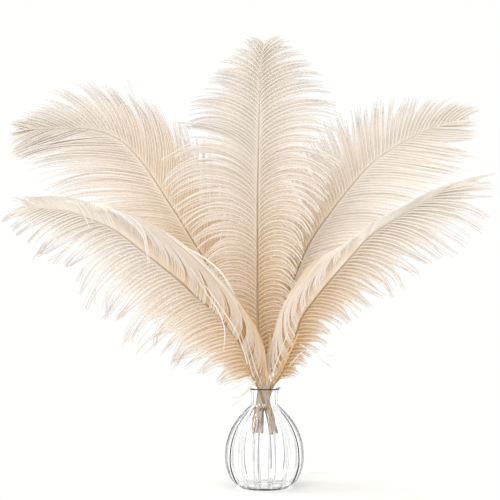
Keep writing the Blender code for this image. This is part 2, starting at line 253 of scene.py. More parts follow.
# How unlike each other they are, in degrees: what drifts along the vane over a number of barbs, what a
# strand shares, and what is a barb's own. The tip of the plume is looser.
LEAN_DRIFT, LEAN_OVER, LEAN_OWN = 1.2, 14, 0.4
CURL_DRIFT, CURL_OVER, CURL_STRAND, CURL_OWN = 3.0, 18, 2.5, 1.5
RISE_DRIFT, RISE_OVER, RISE_OWN = 2.5, 20, 0.5
HOOK_STRAND, HOOK_OWN, HOOK_CALMER = 14, 5, 0.75
CALM_CHANGE = (0.6, 0.3)
TIP_CHANGE = (0.9, 0.1)
TIP_LOOSER = 4
TONE, TONE_OWN = 0.92, 0.08

# A rolled barb, and one of the brush at the tip: millimetres towards the plume's tip, share of the vane's
# height, and millimetres to the front.
ROLL = [(0, 0, 0), (12, 0.4, -2), (24, 0.8, -1.5), (30, 1.0, 2), (22, 1.05, 5), (4, 1.0, 7),
        (-18, 0.9, 7.5), (-38, 0.7, 7.5), (-54, 0.4, 7), (-62, 0.0, 6)]
BRUSH = [(0, 0, 0), (5, 0.4, 0), (11, 0.7, 1), (16, 0.9, 2), (20, 0.95, 2.5), (24, 0.9, 3)]
PATH_SAMPLES = 60
ROLL_HEIGHT = 0.85
ROLL_RISE = 40  # degrees of rise that lift it by the vane's whole height
ROLL_OPENS_OVER = 0.3
ROLL_TIP_CHANGE = (0.85, 0.15)
ROLL_TIP_SHORTER = 0.35

# Their tones. A rolled vane's are more uneven, and darker and much less grey towards its tip.
# The painted shade under the barbs is lighter near the vane's foot.
UNDER_SHADE_CHANGE = (0.0, 0.3)
UNDER_SHADE_AT_ROOT = 0.6
ROLL_DARKER = 0.18
ROLL_DARKER_CHANGE = (0.5, 0.3)
ROLL_UNEVEN = 0.18
ROLL_GREY = 0.15
GREY_CHANGE = (0.55, 0.4)  # along each barb

# The loose barbs: locks, and each plume's lowest barbs, that run down its quill into the vase.
LOOSE_BARE = 0.62
LOOSE_UNDER_SHADE = 0.5
LOCK_SHAPE = (1, 0.5, 1)  # half as deep as it is wide
INTO_VASE = 16  # a lock that ends this close to the vase's axis goes down its neck
CLEAR_HEIGHTS = (60, 78, 86, 101, 115, 125)
CLEAR_RADII = (20, 14, 9.2, 9.2, 24, 400)  # that leave the glass clear at those heights
NECK_STRANDS = 16
NECK_ROWS = 60
NECK_ABOVE = 0.1  # how far above the vane's foot the first row is, as a share of the shaft
NECK_FROM, NECK_TO = (0, 20), (24, 50)  # the rows that they run from and to
NECK_OUT = (1.0, 4.6)  # from the quill
NECK_SWELL = (1.7, 0.45)  # how many times that far, above and below

# A front barb is a strip of painted shade along its underside and a lit back above it.
UNDER_SHADE_WIDTH = 0.6
LIT_BACK = 0.7
PROUD = 0.5  # how far it stands before its barbules
ROW_PART = 0.3  # the part of its row on the map that is the barb's own
BARB_TAPER = 0.35
# Painted shade on the back barbs, that lie behind the front ones.
BACK_SHADE = 0.25
BARBULES = 155_000  # on each plume
BARBULE_LENGTH = (1.9, 4.0)  # on the front barbs and on the back ones
BARBULE_WIDTH = (0.3, 0.95)
BARBULE_SPLAY = (34, 50)
SPLAY_CLOSES = 14  # by the barb's tip
SPLAY_SPREAD = 8
SPLAY_LIMITS = (8, 80)
BARBULE_LIFT, LIFT_SPREAD = -26, 7
BARBULE_UNEVEN = (0.65, 1.25)
THINS_OVER = 0.36  # from the share where the barb is called bare
THINS_BY = 0.8
LOWER_SHADE, UPPER_SHADE = (0.45, 0.45, 0.15), (0.05, 0.05, 0.2)  # painted shade at a barbule's foot and at its end, below the barb and above it
# Painted shade on the back barbs' barbules, that lie behind the front ones.
BACK_BARBULE_SHADE = (0.2, 0.2, 0.35)

QUILL_RADIUS = 1.5
SHAFT_TIP_RADIUS = 0.3
SHAFT_TAPER = 0.45
SHAFT_RINGS = 90
SHAFT_PROUD = 1.4
BARB_ROWS = 0.99  # the part of the plume's own map that the barbs' rows fill
SHAFT_ROW = 0.995


def unit(vectors):
    return vectors / np.maximum(np.linalg.norm(vectors, axis=-1, keepdims=True), 1e-9)


def smooth_line(points):
    """A Catmull-Rom curve through points, in SMOOTH_STEPS steps on each stretch."""
    knots = np.array([points[0], *points, points[-1]], float)
    t = (np.arange(SMOOTH_STEPS) / SMOOTH_STEPS)[:, None]
    line = []
    for a, b, c, d in zip(knots, knots[1:], knots[2:], knots[3:]):
        bend, twist = 2 * a - 5 * b + 4 * c - d, 3 * b - a - 3 * c + d
        line.append(0.5 * (2 * b + (c - a) * t + bend * t**2 + twist * t**3))
    return np.vstack([*line, knots[-1:]])


def spaced(line, count):
    """count points evenly spaced along line."""
    steps = np.linalg.norm(np.diff(line, axis=0), axis=1)
    along = np.concatenate([[0.0], np.cumsum(steps)])
    wanted = np.linspace(0, along[-1], count)
    return np.stack([np.interp(wanted, along, column) for column in line.T], axis=1)


def along_rows(table, place):
    """The rows of table at fractional row numbers place."""
    i = np.clip(place.astype(int), 0, len(table) - 2)
    return table[i] + (table[i + 1] - table[i]) * (place - i)[..., None]


def ease(t):
    t = np.clip(t, 0, 1)
    return t * t * (3 - 2 * t)


def changed(value, start, over):
    """How much of a change has come about at value, from 0 to 1."""
    return ease((value - start) / over)


class Growth:
    """Where a plume's barbs grow from, and how they run, as in the part's source."""

    def __init__(self, plume):
        self.shaft = spaced(smooth_line(plume.shaft), SHAFT_SAMPLES)
        first = next(i for i, point in enumerate(self.shaft) if point[2] > plume.vane_from)
        self.start = first / (SHAFT_SAMPLES - 1)
        last = SHAFT_SAMPLES - 1
        low = np.maximum(np.arange(SHAFT_SAMPLES) - COMBED_OVER, 0)
        high = np.minimum(np.arange(SHAFT_SAMPLES) + 1 + COMBED_OVER, last)
        self.along = unit(self.shaft[high] - self.shaft[low])
        length = np.linalg.norm(np.diff(self.shaft, axis=0), axis=1).sum()
        self.vane_length = length * (1 - self.start)

    def at(self, share):
        """The points at those shares of the shaft's length, and the directions towards the tip."""
        place = np.clip(share, 0, 1) * (SHAFT_SAMPLES - 1)
        along = unit(along_rows(self.along, place))
        past = np.maximum(share - 1, 0)[:, None] * self.vane_length / (1 - self.start)
        return along_rows(self.shaft, place) + along * past, along

    def frame(self, along_vane, side):
        point, along = self.at(self.start + (1 - self.start) * along_vane)
        across = side * unit(np.cross(along, FACE))
        return point, along, across, side * np.cross(across, along)

    def combed(self, vane, side, places, lean, curl, hook, rise, stretch):
        """Barbs that bend away from the shaft in one sweep, as points of (barb, step)."""
        point, along, across, facing = self.frame(places, side)
        arch = vane.arch * (1 - changed(places, *ARCH_CHANGE))
        lean = np.interp(places, STATIONS, vane.lean) + lean - ARCH_LIFT * arch
        curl = np.interp(places, STATIONS, vane.curl) + curl + arch
        step = np.interp(places, STATIONS, vane.reach) * stretch * (1 + arch / ARCH_LENGTHENS) / BARB_STEPS
        folded = np.minimum(1.0, places / FOLD_FROM)
        points = [point]
        for k in range(BARB_STEPS):
            t = (k + 0.5) / BARB_STEPS
            bend = lean + curl * t - ROOT_BEND * max(0.0, 1 - t / ROOT_PART)
            bend = bend + hook * max(0.0, t - HOOK_FROM) / (1 - HOOK_FROM)
            turn = np.radians(bend)[:, None]
            up = np.radians((vane.fold - vane.droop * t) * folded + rise)[:, None]
            out = across * np.cos(up) + facing * np.sin(up)
            point = point + (along * np.cos(turn) + out * np.sin(turn)) * step[:, None]
            points.append(point)
        return np.stack(points, axis=1)

    def rolled(self, vane, side, places, rise, stretch):
        """Barbs that lean towards the tip, roll over to the front, and lie back along the shaft.
        Near the tip they run straight on past it."""
        height = np.interp(places, STATIONS, vane.reach) * stretch
        short = stretch * (1 - ROLL_TIP_SHORTER * changed(places, *ROLL_TIP_CHANGE))
        open_here = changed(places, vane.opens, ROLL_OPENS_OVER)[:, None]
        rows = np.linspace(0, PATH_SAMPLES - 1, BARB_STEPS + 1)
        back, ahead = (along_rows(spaced(smooth_line(path), PATH_SAMPLES), rows) for path in (ROLL, BRUSH))
        points = []
        for over, straight in zip(back, ahead):
            along, up, front = (over + (straight - over) * open_here).T
            point, _, across, facing = self.frame(places + along * short / self.vane_length, side)
            lift = (height * up * (ROLL_HEIGHT + rise / ROLL_RISE))[:, None]
            points.append(point + across * lift + facing * front[:, None])
        return np.stack(points, axis=1)


def wave(rng, count):
    """A soft random wave for each barb, nought at its root and up to about 1 at its tip."""
    t = np.linspace(0, 1, BARB_STEPS + 1)[None, :]
    a, b, phase = rng.normal(size=(3, count, 1))
    return t * (0.6 * a * t + 0.4 * b * np.sin(2.2 * math.pi * t + phase))


def drift(rng, count, every):
    """A random value for each barb that changes slowly from one to the next, over about every of them."""
    knots = rng.normal(size=int(count / every) + 3)
    return np.interp(np.arange(count) / every, np.arange(len(knots)), knots)


class Barbs(NamedTuple):
    """Barbs as points of (barb, step, xyz), with a value of each other kind for each barb."""

    points: np.ndarray
    facing: np.ndarray  # the vane's face there
    along: np.ndarray  # towards the plume's tip
    place: np.ndarray  # share of the vane's length, moved by its pale, that sets its painted golden shade
    tone: np.ndarray
    back: np.ndarray  # 1 for a back barb
    grey: np.ndarray  # how grey its tip gets, a painted shade
    edge: np.ndarray  # how dark the painted shade under it is
    fluff: np.ndarray  # how long its barbules are
    bare: np.ndarray  # the share of its length where they start to thin out


def grow_vane(growth, vane, side, rng):
    """The barbs of one side."""
    count = FRONT_EVERY * round(growth.vane_length / BARB_PITCH / FRONT_EVERY)
    places = np.clip((np.arange(count) + 0.5 + rng.uniform(-0.2, 0.2, count)) / count, 0, VANE_END)
    _, along, _, facing = growth.frame(places, side)
    back = (np.arange(count) % FRONT_EVERY > 0).astype(float)
    if vane.rolled:
        back = np.zeros(count)
    strand = np.cumsum(rng.random(count) < NEW_STRAND)
    strands = strand[-1] + 1

    def shared():
        """A random value for each strand, given to its barbs."""
        return rng.normal(size=strands)[strand]

    own = rng.normal(size=(4, count))
    tip = changed(places, *TIP_CHANGE)
    looser = 1 + TIP_LOOSER * tip
    lean = LEAN_DRIFT * drift(rng, count, LEAN_OVER) + LEAN_OWN * own[0] * looser
    curl = CURL_DRIFT * drift(rng, count, CURL_OVER) + CURL_STRAND * shared() + CURL_OWN * own[1] * looser
    rise = (RISE_DRIFT * drift(rng, count, RISE_OVER) + RISE_OWN * own[2]) * (0.5 if vane.rolled else 1.0)
    calm = 1 - HOOK_CALMER * changed(places, *CALM_CHANGE)
    hook = vane.wild * (HOOK_STRAND * shared() + HOOK_OWN * own[0]) * calm
    even = 1 - 0.05 * (0.5 + vane.wild) * np.abs(own[3])
    stretch = LONGER * rng.uniform(1 - 0.1 * vane.wild, 1.04, strands)[strand] * even
    stretch = stretch * (1 - (1 - BACK_BARB_LENGTH) * back)
    if vane.rolled:  # its height varies less than a barb's length, but more at the tip
        ragged = 0.8 + 0.2 * stretch + 0.2 * tip * own[0]
        points = growth.rolled(vane, side, places, rise + 8 * tip * own[1], ragged)
    else:
        points = growth.combed(vane, side, places, lean, curl, hook, rise, stretch)
    members = np.bincount(strand, minlength=strands)[:, None, None]
    guide = np.zeros((strands, *points.shape[1:]))
    np.add.at(guide, strand, points)
    guide = (guide / np.maximum(members, 1))[strand]
    t = np.linspace(0, 1, BARB_STEPS + 1)[None, :, None]
    points = points + (guide - points) * vane.grouped * changed(t, *GROUPED_CHANGE)
    behind = back[:, None, None] * BEHIND * changed(t, *BEHIND_CHANGE)
    sway = SWAY * wave(rng, count)[:, :, None]
    points = points + facing[:, None, :] * (sway - behind)

    tone = np.clip(TONE + TONE_OWN * own[3], 0, 1)
    colour = places + vane.pale
    grey = np.interp(places, GREY_STATIONS, vane.greys)
    if vane.rolled:
        points = into_neck(points)
        tone = tone * (1 - ROLL_DARKER * changed(places, *ROLL_DARKER_CHANGE))
        tone = tone * vane.tone * (1 + ROLL_UNEVEN * shared())
        colour = places + vane.pale * (1 - places) ** 2
        grey = grey * ROLL_GREY
    else:
        tone = tone * vane.tone
    edge = vane.edge * (UNDER_SHADE_AT_ROOT + (1 - UNDER_SHADE_AT_ROOT) * changed(places, *UNDER_SHADE_CHANGE))
    return Barbs(points, facing, along, colour, tone, back, grey, edge, np.ones(count),
                 np.full(count, vane.bare))


def loose(points, place, fluff, grey, tone):
    """Barbs that run through points of their own."""
    count = len(points)
    full = np.ones(count)
    facing, along = np.tile(FACE, (count, 1)), np.tile((0.0, 0.0, 1.0), (count, 1))
    return Barbs(points, facing, along, place * full, tone, 0 * full, grey * full, LOOSE_UNDER_SHADE * full,
                 fluff * full, LOOSE_BARE * full)


def into_neck(points):
    """The points, those that go down through the vase's mouth kept clear of the glass."""
    points = points.copy()
    radius = np.linalg.norm(points[..., :2], axis=-1)
    limit = np.interp(points[..., 2], CLEAR_HEIGHTS, CLEAR_RADII)
    points[..., :2] *= np.minimum(1, limit / np.maximum(radius, 0.1))[..., None]
    return points


def lock_barbs(lock, rng):
    line = spaced(smooth_line(lock.points), BARB_STEPS + 1)
    t = np.linspace(0.25, 1, BARB_STEPS + 1)[None, :, None]
    apart = lock.spread * rng.normal(size=(lock.barbs, 1, 3)) * LOCK_SHAPE
    points = line[None] + apart * t + SWAY * wave(rng, lock.barbs)[:, :, None] * LOCK_SHAPE
    if math.hypot(*lock.points[-1][:2]) < INTO_VASE:
        points = into_neck(points)
    return loose(points, lock.place, lock.fluff, lock.grey, lock.tone + rng.uniform(-0.1, 0.1, lock.barbs))


def neck_barbs(growth, rng):
    """The lowest barbs, that lie down along the quill through the neck of the vase."""
    quill, _ = growth.at(np.linspace(growth.start + NECK_ABOVE, 0, NECK_ROWS))
    rows = []
    for _ in range(NECK_STRANDS):
        first, last = rng.uniform(*NECK_FROM), rng.uniform(*NECK_TO)
        line = along_rows(quill, np.linspace(first, last, BARB_STEPS + 1))
        turn, out = rng.uniform(0, 2 * math.pi), rng.uniform(*NECK_OUT)
        swell = np.linspace(*NECK_SWELL, BARB_STEPS + 1)[:, None]
        line = line + out * swell * (math.cos(turn), 0.7 * math.sin(turn), 0)
        line[:, :2] += 0.5 * wave(rng, 2).T
        rows.append(into_neck(line[::-1]))
    tone = rng.uniform((0.0, 0.4), (0.12, 0.85), (NECK_STRANDS // 2, 2)).ravel()  # dark and light by turns
    return loose(np.array(rows), -0.1, 0.5, 0.0, tone)


class Sweep(NamedTuple):
    """Directions at each step of each barb: along it, out of the vane's face, and towards the tip's side."""

    ahead: np.ndarray
    face: np.ndarray
    upward: np.ndarray


class Triangles(NamedTuple):
    """Triangles with three corners each, with each corner's share along its barb, side of it and painted
    shade.
    """

    corners: np.ndarray
    share: np.ndarray
    side: np.ndarray
    shade: np.ndarray
    barb: np.ndarray


def sweep_of(barbs):
    facing = barbs.facing[:, None, :]
    ahead = unit(np.gradient(barbs.points, axis=1))
    face = unit(facing - ahead * (ahead * facing).sum(-1, keepdims=True))
    upward = np.cross(face, ahead)
    upward *= np.sign((upward * barbs.along[:, None, :]).sum(-1).mean(1))[:, None, None]
    return Sweep(ahead, face, upward)


def ribbons(barbs, sweep):
    """Each barb's own ribbon: the strip of painted shade along its underside, then its lit back."""
    count = len(barbs.points)
    shares = np.linspace(0, 1, BARB_STEPS + 1)
    thin = (1 - 0.5 * barbs.back[:, None]) * (1 - BARB_TAPER * shares) * (0.4 + 0.6 * barbs.fluff[:, None])
    middle = barbs.points + sweep.face * PROUD
    low, high = np.tile(shares[:-1], count), np.tile(shares[1:], count)
    share = np.stack([np.stack([low, low, high], 1), np.stack([low, high, high], 1)], 1).reshape(-1, 3)
    barb = np.repeat(np.arange(count), 2 * BARB_STEPS)
    for under, over, light in ((-UNDER_SHADE_WIDTH, 0, 0.0), (0, LIT_BACK, 1.0)):
        left = middle + sweep.upward * (thin * under)[:, :, None]
        right = middle + sweep.upward * (thin * over)[:, :, None]
        a, b, c, d = left[:, :-1], right[:, :-1], right[:, 1:], left[:, 1:]
        corners = np.stack([np.stack([a, b, c], 2), np.stack([a, c, d], 2)], 2).reshape(-1, 3, 3)
        lower, upper = ROW_PART * np.sign((under, over))
        side = np.tile([[lower, upper, upper], [lower, upper, lower]], (count * BARB_STEPS, 1))
        # Painted shade under each front barb, fading in from its root, and on the back barbs.
        dark = ((1 - light) * barbs.edge * (1 - barbs.back))[barb, None] * ease(share / 0.1)
        yield Triangles(corners, share, side, 1 - dark - BACK_SHADE * barbs.back[barb, None], barb)


def between(table, barb, place):
    """The rows of table for each barb, at fractional step numbers place."""
    i = np.clip(place.astype(int), 0, BARB_STEPS - 1)
    part = (place - i)[:, None]
    return table[barb, i] * (1 - part) + table[barb, i + 1] * part


def barbules(barbs, sweep, rng):
    """The barbules, each a triangle, on one side of the barbs and then on the other."""
    count = len(barbs.points)
    length = np.linalg.norm(np.diff(barbs.points, axis=1), axis=2).sum(1)
    weight = length * (1.1 - 0.2 * barbs.back)
    each = np.maximum(3, np.round(BARBULES / 2 * weight / weight.sum())).astype(int)
    barb = np.repeat(np.arange(count), each)
    back = barbs.back[barb]
    order = np.arange(len(barb)) - np.repeat(np.cumsum(each) - each, each)
    share = 0.02 + (0.96 - 0.06 * back) * (order + rng.uniform(0, 1, len(barb))) / each[barb]
    reaches, widths, splays = (np.interp(back, (0, 1), pair)
                               for pair in (BARBULE_LENGTH, BARBULE_WIDTH, BARBULE_SPLAY))
    for hand, shades in ((-1, LOWER_SHADE), (1, UPPER_SHADE)):
        place = np.clip(share + rng.uniform(-0.005, 0.005, len(barb)), 0, 1) * BARB_STEPS
        root, ahead, face, out = (between(table, barb, place) for table in (barbs.points, *sweep))
        splay = rng.normal(splays - SPLAY_CLOSES * share, SPLAY_SPREAD)
        splay = np.radians(np.clip(splay, *SPLAY_LIMITS))[:, None]
        lift = np.radians(rng.normal(BARBULE_LIFT, LIFT_SPREAD, len(barb)))[:, None]
        away = hand * out * np.cos(lift) + face * np.sin(lift)
        direction = ahead * np.cos(splay) + away * np.sin(splay)
        full = ease(share / 0.12 + 0.35) * (1 - THINS_BY * changed(share, barbs.bare[barb], THINS_OVER))
        reach = (reaches * full * rng.uniform(*BARBULE_UNEVEN, len(barb)) * barbs.fluff[barb])[:, None]
        half = ahead * (widths / 2 * (1 - 0.4 * share))[:, None]
        corners = np.stack([root - half, root + half, root + direction * reach], 1)
        side = np.tile(np.array([[ROW_PART, ROW_PART, 1.0]]) * hand, (len(barb), 1))
        # Painted shade on the barbules: darker below the barb, and on the back barbs.
        dark = np.array(shades) * barbs.edge[barb, None]
        shade = 1 - dark + (dark - BACK_BARBULE_SHADE) * back[:, None]
        yield Triangles(corners, np.repeat(share[:, None], 3, 1), side, shade, barb)


def barb_mesh(name, barbs, triangles, finish):
    """One mesh of loose triangles. Each barb has a row of the mesh's own map, from its root to its tip."""
    mesh = bpy.data.meshes.new(name)
    count = len(triangles.corners)
    mesh.vertices.add(count * 3)
    mesh.vertices.foreach_set("co", (triangles.corners * MM).astype(np.float32).ravel())
    mesh.loops.add(count * 3)
    mesh.loops.foreach_set("vertex_index", np.arange(count * 3, dtype=np.int32))
    mesh.polygons.add(count)
    mesh.polygons.foreach_set("loop_start", np.arange(0, count * 3, 3, dtype=np.int32))
    mesh.update(calc_edges=True)
    share, barb = triangles.share, triangles.barb[:, None]
    row = (barb + 0.5 + 0.4 * triangles.side) / (len(barbs.place) + 1) * BARB_ROWS
    chart = mesh.uv_layers.new(name="OFBake")
    chart.uv.foreach_set("vector", np.stack([share, row], -1).astype(np.float32).ravel())
    # The shade value is painted shade and light: the barbs' painted shades, times each barb's tone, which
    # holds a random part and each vane's painted lightening or darkening.
    values = {
        "shade": triangles.shade * barbs.tone[barb],
        "grey": changed(share, *GREY_CHANGE) * barbs.grey[barb],
        "place": barbs.place[barb] + 0 * share,
    }
    for kind, value in values.items():
        layer = mesh.attributes.new(kind, "FLOAT", "CORNER")
        layer.data.foreach_set("value", value.astype(np.float32).ravel())
    mesh.materials.append(finish)
    mesh.validate()
    return mesh


def grow_plume(plume, barb_finish, shaft_finish):
    rng = np.random.default_rng(plume.seed)
    growth = Growth(plume)
    parts = [grow_vane(growth, plume.left, -1, rng), grow_vane(growth, plume.right, 1, rng)]
    parts += [lock_barbs(lock, rng) for lock in LOCKS if lock.plume == plume.name]
    parts.append(neck_barbs(growth, rng))
    barbs = Barbs(*(np.concatenate(values) for values in zip(*parts)))
    sweep = sweep_of(barbs)
    fringe = [*ribbons(barbs, sweep), *barbules(barbs, sweep, rng)]
    triangles = Triangles(*(np.concatenate(values) for values in zip(*fringe)))
    name = plume.name + "_barbs"
    piece = bpy.data.objects.new(name, barb_mesh(name, barbs, triangles, barb_finish))
    bpy.context.scene.collection.objects.link(piece)
    add_shaft(piece, growth, shaft_finish)
    return piece


def add_shaft(piece, growth, finish):
    """The quill and shaft as a tapered tube, joined to the barbs' piece."""
    curve = bpy.data.curves.new("shaft", "CURVE")
    curve.dimensions = "3D"
    curve.bevel_depth = MM
    curve.bevel_resolution = 2
    curve.use_fill_caps = True
    share = np.linspace(0, VANE_END, SHAFT_RINGS)
    late = np.maximum(0.0, (share - growth.start) / (1 - growth.start))
    radii = QUILL_RADIUS * (1 - (1 - SHAFT_TIP_RADIUS / QUILL_RADIUS) * late**SHAFT_TAPER)
    spline = curve.splines.new("POLY")
    spline.points.add(SHAFT_RINGS - 1)
    line, _ = growth.at(share)
    for point, place, radius in zip(spline.points, line, radii):
        point.co = (*((place + FACE * SHAFT_PROUD) * MM), 1.0)
        point.radius = radius
    source = bpy.data.objects.new("shaft", curve)
    bpy.context.scene.collection.objects.link(source)
    graph = bpy.context.evaluated_depsgraph_get()
    mesh = bpy.data.meshes.new_from_object(source.evaluated_get(graph))
    bpy.data.objects.remove(source)
    mesh.shade_smooth()
    while mesh.uv_layers:
        mesh.uv_layers.remove(mesh.uv_layers[0])
    place = np.zeros(len(mesh.vertices) * 3, np.float32)
    mesh.vertices.foreach_get("co", place)
    place = place.reshape(-1, 3) / MM
    nearest = ((place[:, None, :] - line[None, :, :]) ** 2).sum(-1).argmin(1)
    chart = mesh.uv_layers.new(name="OFBake")
    corner = np.zeros(len(mesh.loops), np.int32)
    mesh.loops.foreach_get("vertex_index", corner)
    uv = np.stack([share[nearest[corner]], np.full(len(corner), SHAFT_ROW)], 1)
    chart.uv.foreach_set("vector", uv.astype(np.float32).ravel())
    mesh.materials.clear()
    mesh.materials.append(finish)
    shaft = bpy.data.objects.new("shaft", mesh)
    bpy.context.scene.collection.objects.link(shaft)
    bpy.ops.object.select_all(action="DESELECT")
    shaft.select_set(True)
    piece.select_set(True)
    bpy.context.view_layer.objects.active = piece
    bpy.ops.object.join()


# ---------------------------------------------------------------- finishes

# By the share of a barb's length, from the root.
ALONG_BARB = [(0.0, (0.90, 0.85, 0.79)), (0.15, (0.90, 0.86, 0.80)), (0.6, (0.92, 0.89, 0.86)),
              (1.0, (0.92, 0.89, 0.87))]
# How much painted golden shade a barb gets, by its place on the plume: the warm shade deep inside the plume,
# near the vase.
DEEP_SHADE = ((0.0, 1.0), (0.12, 0.85), (0.2, 0.72), (0.35, 0.52), (0.55, 0.2), (0.75, 0.0))
GOLDEN_SHADE = (0.95, 0.69, 0.37, 1.0)
UNDERSIDE_SHADE = (0.45, 0.37, 0.29, 1.0)
SHADED_TIP_GREY = (0.54, 0.49, 0.45, 1.0)
LIT_THROUGH = (0.92, 0.86, 0.79, 1.0)
# By the share of a shaft's length, from the quill's foot.
ALONG_SHAFT = [(0.0, (0.30, 0.17, 0.09)), (0.12, (0.36, 0.23, 0.12)), (0.2, (0.36, 0.25, 0.13)),
               (0.5, (0.33, 0.23, 0.12)), (0.8, (0.50, 0.40, 0.28)), (1.0, (0.72, 0.65, 0.53))]
GLASS_IOR = 1.47
GLASS_TINT = (0.80, 0.84, 0.83, 1.0)
GLASS_DENSITY = 40.0


class Sums:
    """A value in a material's nodes. A sum written on it adds the Math nodes that work it out."""

    def __init__(self, tree, socket=None):
        self.tree, self.socket = tree, socket

    def node(self, kind, settings=(), values=(), out=0):
        """Adds a node: its settings are set first, then its sockets' values or links."""
        made = self.tree.nodes.new(kind)
        for name, value in dict(settings).items():
            if name == "stops":
                for stop in range(2, len(value)):
                    made.color_ramp.elements.new(0.5)
                for element, (position, colour) in zip(made.color_ramp.elements, value):
                    element.position, element.color = position, (*colour, 1.0)
            else:
                setattr(made, name, value)
        for name, value in dict(values).items():
            if isinstance(value, Sums):
                self.tree.links.new(value.socket, made.inputs[name])
            else:
                made.inputs[name].default_value = value
        return Sums(self.tree, made.outputs[out] if made.outputs else None)

    def math(self, operation, one, other):
        return self.node("ShaderNodeMath", {"operation": operation}, {0: one, 1: other})

    def __add__(self, other):
        return self.math("ADD", self, other)

    def __sub__(self, other):
        return self.math("SUBTRACT", self, other)

    def __rsub__(self, other):
        return self.math("SUBTRACT", other, self)

    def __mul__(self, other):
        return self.math("MULTIPLY", self, other)

    __radd__, __rmul__ = __add__, __mul__

    def mix(self, one, other, blend="MIX"):
        """From colour one to colour other, by this value."""
        settings = {"data_type": "RGBA", "blend_type": blend}
        return self.node("ShaderNodeMix", settings, {0: self, 6: one, 7: other}, out=2)


def new_finish(name):
    made = bpy.data.materials.new(name)
    made.use_nodes = True
    made.node_tree.nodes.clear()
    return made, Sums(made.node_tree)


def wear(tree, shader):
    tree.node("ShaderNodeOutputMaterial", (), {"Surface": shader})


def along_map(tree):
    """The share of a barb's or shaft's length, from the piece's own map."""
    chart = tree.node("ShaderNodeUVMap", {"uv_map": "OFBake"})
    return tree.node("ShaderNodeSeparateXYZ", (), {0: chart}, out=0)


def greys(levels):
    """A ramp's stops from (place, level) pairs."""
    return [(place, (level, level, level)) for place, level in levels]


def feather_barbs():
    """Champagne along the barbs, with painted golden shade deep down, painted shade under each barb, and grey
    hair-thin tips painted as the shade they show against the light.
    """
    made, tree = new_finish("feather_barbs")
    out = along_map(tree)
    place, shade, grey = (tree.node("ShaderNodeAttribute", {"attribute_name": name}, out=2)
                          for name in ("place", "shade", "grey"))
    colour = tree.node("ShaderNodeValToRGB", {"stops": ALONG_BARB}, {0: out})
    # Painted golden shade: strongest near the vase, weaker towards each barb's tip and weaker on the lit
    # backs.
    deep = tree.node("ShaderNodeValToRGB", {"stops": greys(DEEP_SHADE)}, {0: place})
    deep = deep * (1 - out * 0.6) * (1.75 - shade * 1.12)
    # Painted shade under each barb, on its barbules and on the back barbs.
    dark = (1 - shade) * 0.8
    colour = dark.mix(colour, UNDERSIDE_SHADE)
    colour = deep.mix(colour, GOLDEN_SHADE, "MULTIPLY")
    # Grey painted on the hair-thin tips, the shade they show against the bright room.
    colour = (grey * 0.9).mix(colour, SHADED_TIP_GREY)
    surface = tree.node("ShaderNodeBsdfPrincipled", (), {"Base Color": colour, "Roughness": 0.8,
                                                         "Specular IOR Level": 0.3})
    through = tree.node("ShaderNodeBsdfTranslucent", (), {"Color": LIT_THROUGH})
    # Less light passes through where grey or darker shade is painted.
    share_through = (1 - grey) * (shade * 0.3 + 0.1)
    wear(tree, tree.node("ShaderNodeMixShader", (), {0: share_through, 1: surface, 2: through}))
    return made


def feather_shaft():
    made, tree = new_finish("feather_shaft")
    colour = tree.node("ShaderNodeValToRGB", {"stops": ALONG_SHAFT}, {0: along_map(tree)})
    wear(tree, tree.node("ShaderNodeBsdfPrincipled", (), {"Base Color": colour, "Roughness": 0.55,
                                                          "Specular IOR Level": 0.3}))
    return made


def clear_glass():
    made, tree = new_finish("clear_glass")
    glass = tree.node("ShaderNodeBsdfPrincipled", (), {
        "Base Color": (1.0, 1.0, 1.0, 1.0), "Roughness": 0.0, "IOR": GLASS_IOR, "Transmission Weight": 1.0,
    })
    depth = tree.node("ShaderNodeVolumeAbsorption", (), {"Color": GLASS_TINT, "Density": GLASS_DENSITY})
    tree.node("ShaderNodeOutputMaterial", (), {"Surface": glass, "Volume": depth})
    return made


# ---------------------------------------------------------------- the vase

BULB_OUTLINE = [
    (24.0, 0.0), (32.0, 8.0), (37.4, 21.0), (38.5, 33.0),
    (36.4, 48.0), (29.8, 63.5), (19.5, 77.0), (13.4, 83.5),
]
BULB_SAMPLES = 40
NECK_RADIUS = 13.0
LIP_RADIUS = 16.2
LIP_EDGE = 0.35
LIP_SAMPLES = 7
VASE_HEIGHT = 101.0
WALL = 2.0
NECK_WALL = 1.2
FLOOR_THICKNESS = 3.0
RIBS = 14
RIB_HEIGHT = 1.1
RIB_SPREAD = 3.7
RIB_SHARPNESS = 5
RIB_ENDS = (-2.0, 84.0)
RIB_FADES = (8, 10)  # over how much they rise from the foot and sink at the neck
RIB_COLUMNS = (0, 1.7, 2.5, 3.0, 3.4, 3.8, 4.2, 4.7, 5.5)  # degrees from a rib's ridge, out towards the next


